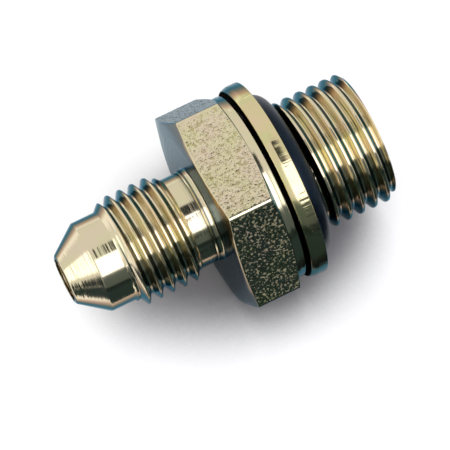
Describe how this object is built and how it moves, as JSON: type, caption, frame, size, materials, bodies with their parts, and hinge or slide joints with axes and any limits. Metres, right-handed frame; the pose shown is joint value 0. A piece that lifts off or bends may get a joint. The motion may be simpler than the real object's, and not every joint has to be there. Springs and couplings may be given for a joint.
{
  "type": "hydraulic adapter fitting",
  "caption": "Straight hydraulic adapter: male 37 degree flare nose, hexagon, and a parallel-thread stud sealed by an O-ring in a retaining ring.",
  "frame": {"origin": "on the fitting's axis, in the plane where the retaining ring meets the face of the port", "axes": "+X along the axis from the flare nose to the stud's end, +Z square to the hexagon flat that faces up"},
  "size_m": [0.0319, 0.022, 0.0198],
  "materials": {
    "plated_steel": "turned and shot-blasted, yellow zinc plated",
    "plated_steel_ring": "blanked, yellow zinc plated",
    "nitrile_rubber": "satin black"
  },
  "bodies": {
    "root": {"adapter_body": "plated_steel", "retaining_ring": "plated_steel_ring", "o_ring": "nitrile_rubber"}
  },
  "joints": []
}
